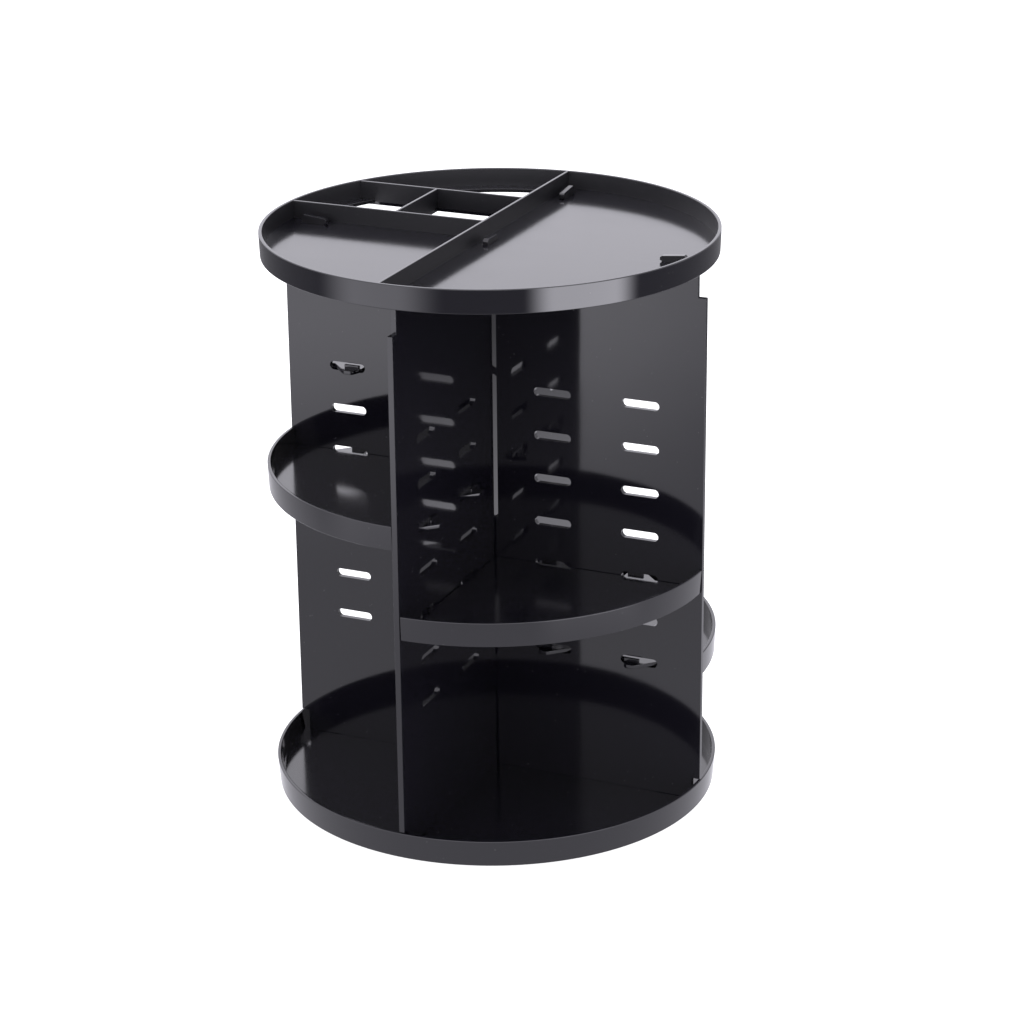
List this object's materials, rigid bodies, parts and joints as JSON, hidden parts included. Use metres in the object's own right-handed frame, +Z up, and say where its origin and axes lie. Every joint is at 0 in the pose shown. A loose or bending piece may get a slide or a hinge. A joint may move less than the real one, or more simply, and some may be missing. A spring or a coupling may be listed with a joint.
{
  "type": "rotating makeup organizer",
  "caption": "Carousel organizer: a round tray on a ball turntable, two crossed slotted panels, hooked quarter trays and a divided round top tray.",
  "frame": {"origin": "on the ground, on the axis of rotation", "axes": "+Z up along the axis of rotation, cross_panel_a in the XZ plane, cross_panel_b in the YZ plane"},
  "size_m": [0.2314, 0.2314, 0.305],
  "materials": {
    "gloss_black": "polished black moulded plastic",
    "black_base": "satin black moulded plastic",
    "foot_rubber": "matt dark grey rubber",
    "cage_plastic": "natural white acetal",
    "ball_steel": "polished steel",
    "zinc_steel": "zinc-plated steel"
  },
  "bodies": {
    "base": {"base_plate": "black_base", "foot_pad_1": "foot_rubber", "foot_pad_2": "foot_rubber", "foot_pad_3": "foot_rubber", "foot_pad_4": "foot_rubber", "foot_pad_5": "foot_rubber", "foot_pad_6": "foot_rubber"},
    "ball_ring": {"ball_cage": "cage_plastic", "bearing_balls": "ball_steel"},
    "carousel": {"upper_race": "black_base", "race_screw_1": "zinc_steel", "race_screw_2": "zinc_steel", "race_screw_3": "zinc_steel", "race_screw_4": "zinc_steel", "pivot_washer": "zinc_steel", "pivot_screw": "zinc_steel", "bottom_tray": "gloss_black", "cross_panel_a": "gloss_black", "cross_panel_b": "gloss_black", "top_tray": "gloss_black"},
    "quarter_tray_back_left_body": {"quarter_tray_back_left": "gloss_black"},
    "quarter_tray_left_body": {"quarter_tray_left": "gloss_black"},
    "quarter_tray_front_body": {"quarter_tray_front": "gloss_black"},
    "quarter_tray_right_body": {"quarter_tray_right": "gloss_black"}
  },
  "joints": [
    {"name": "carousel_spin", "type": "hinge", "parent": "base", "child": "carousel", "pos_m": [0, 0, 0.00475], "axis": [0, 0, 1], "continuous": true},
    {"name": "ball_ring_spin", "type": "hinge", "parent": "base", "child": "ball_ring", "pos_m": [0, 0, 0.00475], "axis": [0, 0, 1], "continuous": true},
    {"name": "quarter_tray_back_left_slide", "type": "slide", "parent": "carousel", "child": "quarter_tray_back_left_body", "axis": [-0.7071, 0.7071, 0], "range_m": [0, 0.03]},
    {"name": "quarter_tray_left_slide", "type": "slide", "parent": "carousel", "child": "quarter_tray_left_body", "axis": [-0.7071, -0.7071, 0], "range_m": [0, 0.03]},
    {"name": "quarter_tray_front_slide", "type": "slide", "parent": "carousel", "child": "quarter_tray_front_body", "axis": [0.7071, -0.7071, 0], "range_m": [0, 0.03]},
    {"name": "quarter_tray_right_slide", "type": "slide", "parent": "carousel", "child": "quarter_tray_right_body", "axis": [0.7071, 0.7071, 0], "range_m": [0, 0.03]}
  ],
  "couplings": [
    {"joint": "ball_ring_spin", "follows": "carousel_spin", "ratio": 0.5}
  ]
}
